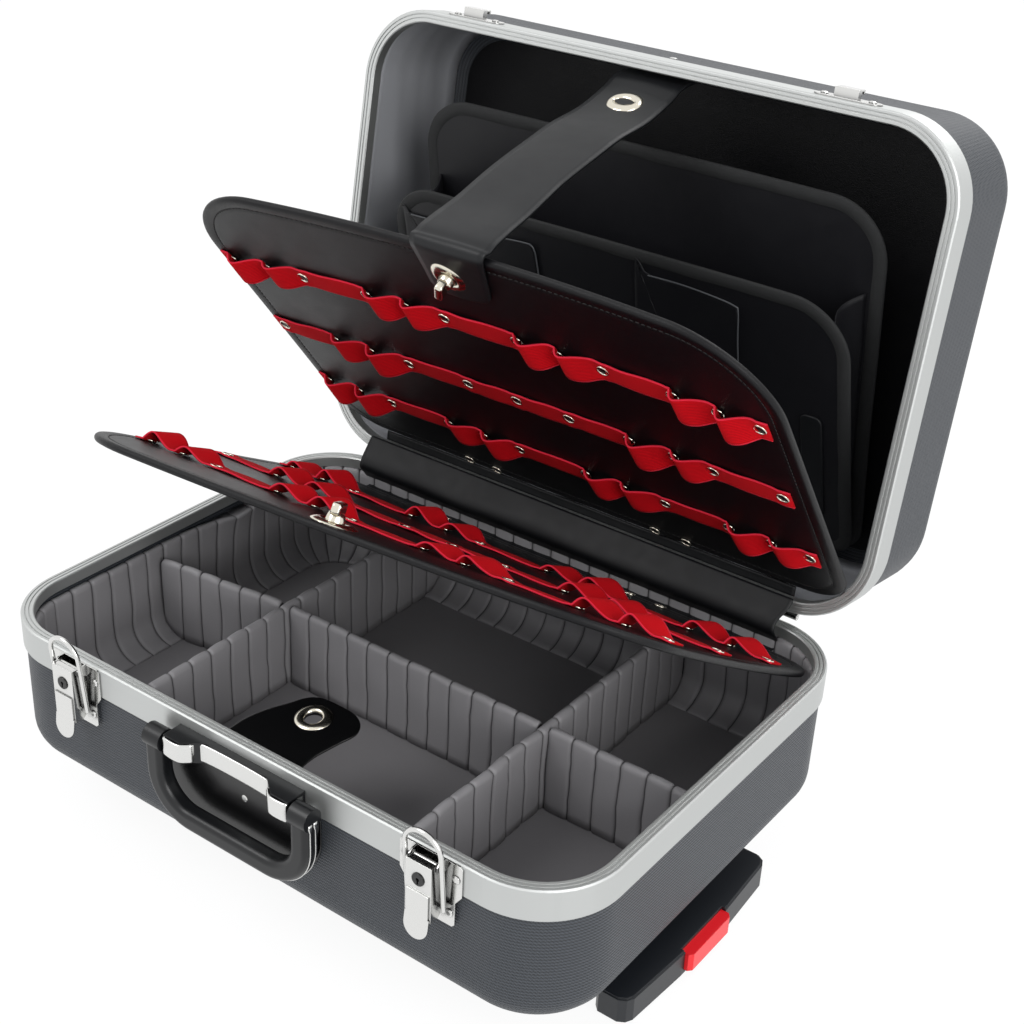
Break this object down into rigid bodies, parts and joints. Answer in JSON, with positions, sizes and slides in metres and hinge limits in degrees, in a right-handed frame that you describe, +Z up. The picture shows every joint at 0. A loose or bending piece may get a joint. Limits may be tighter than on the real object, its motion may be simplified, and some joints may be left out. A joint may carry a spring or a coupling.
{
  "type": "hard tool case",
  "caption": "Open hard tool case with aluminium rims, two tool boards with elastic loops, document wallets, padded dividers, latches, carrying handle and telescopic trolley handle.",
  "frame": {"origin": "on the floor under the middle of the base", "axes": "+X along the latch side towards the pull grip, +Y from the latches to the lid hinge, +Z up"},
  "size_m": [0.515, 0.5513, 0.5347],
  "materials": {
    "shell_plastic": "fine ribbed texture",
    "frame_aluminium": "satin anodised",
    "liner_leatherette": "quilted leatherette",
    "floor_board": "hardboard",
    "black_leatherette": "grained leatherette",
    "bright_hardware": "polished nickel plate",
    "handle_plastic": "satin",
    "trolley_plastic": "moulded",
    "tube_metal": "drawn",
    "rubber": "matte",
    "red_elastic": "woven elastic",
    "red_plastic": "gloss",
    "lid_lining": "smooth lining"
  },
  "bodies": {
    "case_base": {"base_shell": "shell_plastic", "base_frame": "frame_aluminium", "base_wall_liner": "liner_leatherette", "raised_floor": "floor_board", "floor_mat": "liner_leatherette", "long_dividers": "liner_leatherette", "cross_dividers": "liner_leatherette", "latch_plates": "bright_hardware", "pivot_pins": "bright_hardware", "base_rivets": "bright_hardware", "handle_bracket": "handle_plastic", "handle_bracket_trim": "bright_hardware", "hinge_base_leaf": "bright_hardware", "hinge_pin": "bright_hardware", "hinge_cover": "black_leatherette", "trolley_frame": "trolley_plastic", "fixed_tubes": "tube_metal", "support_feet": "rubber", "wheel_axles": "bright_hardware", "lower_board_strip": "black_leatherette"},
    "lid": {"lid_shell": "shell_plastic", "lid_frame": "frame_aluminium", "lid_side_lining": "lid_lining", "lid_back_panel": "black_leatherette", "hinge_lid_leaf": "bright_hardware", "lid_catches": "bright_hardware", "lid_rivets": "bright_hardware", "strap_eyelet": "bright_hardware", "board_strap": "black_leatherette", "upper_board_strip": "black_leatherette", "wallet_gussets": "black_leatherette"},
    "upper_tool_board": {"upper_board": "black_leatherette", "upper_elastic_bands": "red_elastic", "upper_band_rivets": "bright_hardware", "upper_lock_plate": "bright_hardware"},
    "upper_knob": {"upper_turn_knob": "bright_hardware"},
    "lower_tool_board": {"lower_board": "black_leatherette", "lower_elastic_bands": "red_elastic", "lower_band_rivets": "bright_hardware", "lower_lock_plate": "bright_hardware"},
    "lower_knob": {"lower_turn_knob": "bright_hardware"},
    "rear_wallet": {"wallet_rear": "black_leatherette"},
    "front_wallet": {"wallet_front": "black_leatherette"},
    "flap": {"closure_flap": "black_leatherette", "flap_eyelet": "bright_hardware"},
    "left_lever": {"latch_lever_left": "bright_hardware"},
    "right_lever": {"latch_lever_right": "bright_hardware"},
    "left_bail": {"latch_bail_left": "bright_hardware"},
    "right_bail": {"latch_bail_right": "bright_hardware"},
    "left_barrel": {"lock_barrel_left": "bright_hardware"},
    "right_barrel": {"lock_barrel_right": "bright_hardware"},
    "handle": {"carry_handle": "handle_plastic"},
    "trolley_stage": {"middle_tubes": "tube_metal"},
    "trolley_grip": {"inner_tubes": "tube_metal", "pull_grip": "trolley_plastic", "button_spring": "bright_hardware"},
    "release_button": {"pull_button": "red_plastic"},
    "front_wheel": {"wheel_front": "rubber"},
    "rear_wheel": {"wheel_rear": "rubber"}
  },
  "joints": [
    {"name": "lid_hinge", "type": "hinge", "parent": "case_base", "child": "lid", "pos_m": [0, 0.185, 0.1648], "axis": [1, 0, 0], "range_deg": [0, 99.5], "deforming": ["hinge_cover"]},
    {"name": "upper_board_hinge", "type": "hinge", "parent": "lid", "child": "upper_tool_board", "pos_m": [0, 0.19475, 0.18548], "axis": [1, 0, 0], "range_deg": [-46.3, 0], "deforming": ["board_strap", "strap_eyelet"]},
    {"name": "lower_board_hinge", "type": "hinge", "parent": "case_base", "child": "lower_tool_board", "pos_m": [0, 0.163, 0.1405], "axis": [1, 0, 0], "range_deg": [0, 29]},
    {"name": "rear_wallet_hinge", "type": "hinge", "parent": "lid", "child": "rear_wallet", "pos_m": [0, 0.28335, 0.17572], "axis": [1, 0, 0], "range_deg": [-17, 0]},
    {"name": "front_wallet_hinge", "type": "hinge", "parent": "lid", "child": "front_wallet", "pos_m": [0, 0.27152, 0.1777], "axis": [1, 0, 0], "range_deg": [-27, 0], "deforming": ["wallet_gussets"]},
    {"name": "flap_hinge", "type": "hinge", "parent": "case_base", "child": "flap", "pos_m": [0, -0.1708, 0.137], "axis": [1, 0, 0], "range_deg": [-43, 0]},
    {"name": "left_lever_hinge", "type": "hinge", "parent": "case_base", "child": "left_lever", "pos_m": [-0.158, -0.188, 0.156], "axis": [1, 0, 0], "range_deg": [-100, 0]},
    {"name": "left_bail_hinge", "type": "hinge", "parent": "left_lever", "child": "left_bail", "pos_m": [-0.158, -0.1875, 0.124], "axis": [1, 0, 0], "range_deg": [0, 100]},
    {"name": "left_lock_turn", "type": "hinge", "parent": "left_lever", "child": "left_barrel", "pos_m": [-0.158, -0.192, 0.1455], "axis": [0, -1, 0], "range_deg": [0, 90]},
    {"name": "right_lever_hinge", "type": "hinge", "parent": "case_base", "child": "right_lever", "pos_m": [0.158, -0.188, 0.156], "axis": [1, 0, 0], "range_deg": [-100, 0]},
    {"name": "right_bail_hinge", "type": "hinge", "parent": "right_lever", "child": "right_bail", "pos_m": [0.158, -0.1875, 0.124], "axis": [1, 0, 0], "range_deg": [0, 100]},
    {"name": "right_lock_turn", "type": "hinge", "parent": "right_lever", "child": "right_barrel", "pos_m": [0.158, -0.192, 0.1455], "axis": [0, -1, 0], "range_deg": [0, 90]},
    {"name": "carry_handle_hinge", "type": "hinge", "parent": "case_base", "child": "handle", "pos_m": [0, -0.194, 0.144], "axis": [1, 0, 0], "range_deg": [-100, 2]},
    {"name": "upper_lock_turn", "type": "hinge", "parent": "upper_tool_board", "child": "upper_knob", "pos_m": [0, 0.01443, 0.4165], "axis": [0, -0.8007, -0.599], "range_deg": [0, 90]},
    {"name": "lower_lock_turn", "type": "hinge", "parent": "lower_tool_board", "child": "lower_knob", "pos_m": [0, -0.09036, 0.2878], "axis": [0, 0.4848, 0.8746], "range_deg": [0, 90]},
    {"name": "first_stage_slide", "type": "slide", "parent": "case_base", "child": "trolley_stage", "axis": [1, 0, 0], "range_m": [0, 0.34]},
    {"name": "second_stage_slide", "type": "slide", "parent": "trolley_stage", "child": "trolley_grip", "axis": [1, 0, 0], "range_m": [0, 0.34]},
    {"name": "release_button_press", "type": "slide", "parent": "trolley_grip", "child": "release_button", "axis": [-1, 0, 0], "range_m": [0, 0.006], "stiffness_N_per_m": 600, "springref_m": -0.003, "deforming": ["button_spring"]},
    {"name": "front_wheel_axle", "type": "hinge", "parent": "case_base", "child": "front_wheel", "pos_m": [-0.234, -0.095, 0.023], "axis": [0, 1, 0], "continuous": true},
    {"name": "rear_wheel_axle", "type": "hinge", "parent": "case_base", "child": "rear_wheel", "pos_m": [-0.234, 0.095, 0.023], "axis": [0, 1, 0], "continuous": true}
  ],
  "couplings": [
    {"joint": "upper_board_hinge", "follows": "lid_hinge", "ratio": -0.46533},
    {"joint": "lower_board_hinge", "follows": "lid_hinge", "ratio": 0.29146},
    {"joint": "rear_wallet_hinge", "follows": "lid_hinge", "ratio": -0.17085},
    {"joint": "front_wallet_hinge", "follows": "lid_hinge", "ratio": -0.27136},
    {"joint": "flap_hinge", "follows": "lid_hinge", "ratio": -0.43216},
    {"joint": "left_bail_hinge", "follows": "left_lever_hinge", "ratio": -1},
    {"joint": "right_bail_hinge", "follows": "right_lever_hinge", "ratio": -1}
  ]
}
